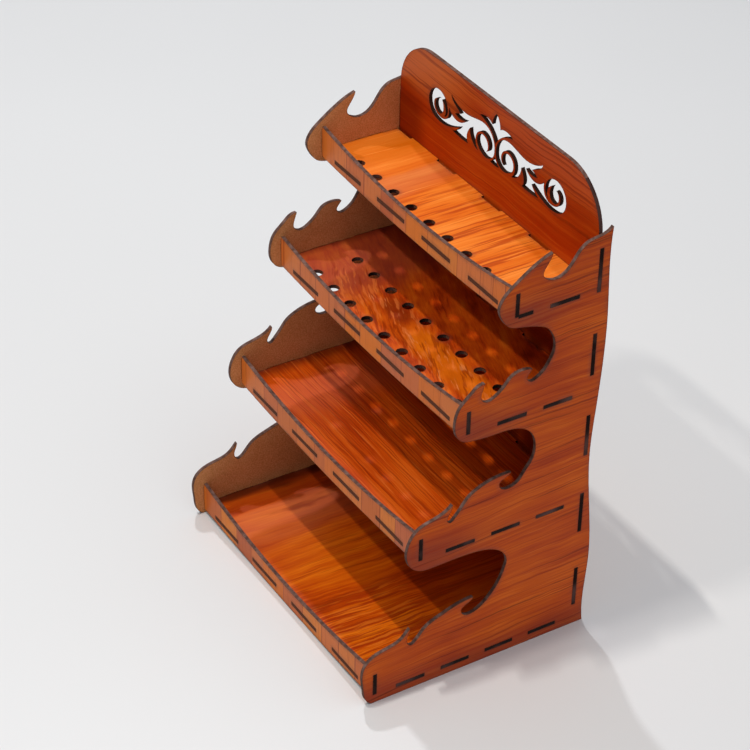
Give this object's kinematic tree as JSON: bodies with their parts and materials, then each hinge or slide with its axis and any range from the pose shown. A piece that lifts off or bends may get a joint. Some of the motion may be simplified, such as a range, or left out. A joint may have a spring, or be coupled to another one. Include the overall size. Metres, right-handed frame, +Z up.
{
  "type": "paint shelf",
  "caption": "Stepped shelf of slotted thin board for paints and brushes, with scalloped ends, a fretted crest and rows of round brush holes.",
  "frame": {"origin": "middle of the footprint, on the surface that the shelf stands on", "axes": "+X along the shelves to the right seen from the front, +Y to the back, +Z up"},
  "size_m": [0.27, 0.2029, 0.397],
  "materials": {
    "side_panel": "glossy wood-grain film on thin board, mid red-brown",
    "back_panel": "glossy wood-grain film on thin board, deep red-brown",
    "bottom_shelf": "glossy wood-grain film, orange-brown",
    "second_shelf": "glossy wood-grain film, red-orange",
    "third_shelf": "glossy wood-grain film, flame-figured orange and brown",
    "top_shelf": "glossy wood-grain film, bright orange with thin dark streaks",
    "lip": "wood-grain film, tan orange with upright grain bands"
  },
  "bodies": {
    "root": {"side_panel_left": "side_panel", "side_panel_right": "side_panel", "back_panel": "back_panel", "bottom_shelf": "bottom_shelf", "bottom_lip": "lip", "second_shelf": "second_shelf", "second_lip": "lip", "third_shelf": "third_shelf", "third_lip": "lip", "top_shelf": "top_shelf", "top_lip": "lip"}
  },
  "joints": []
}
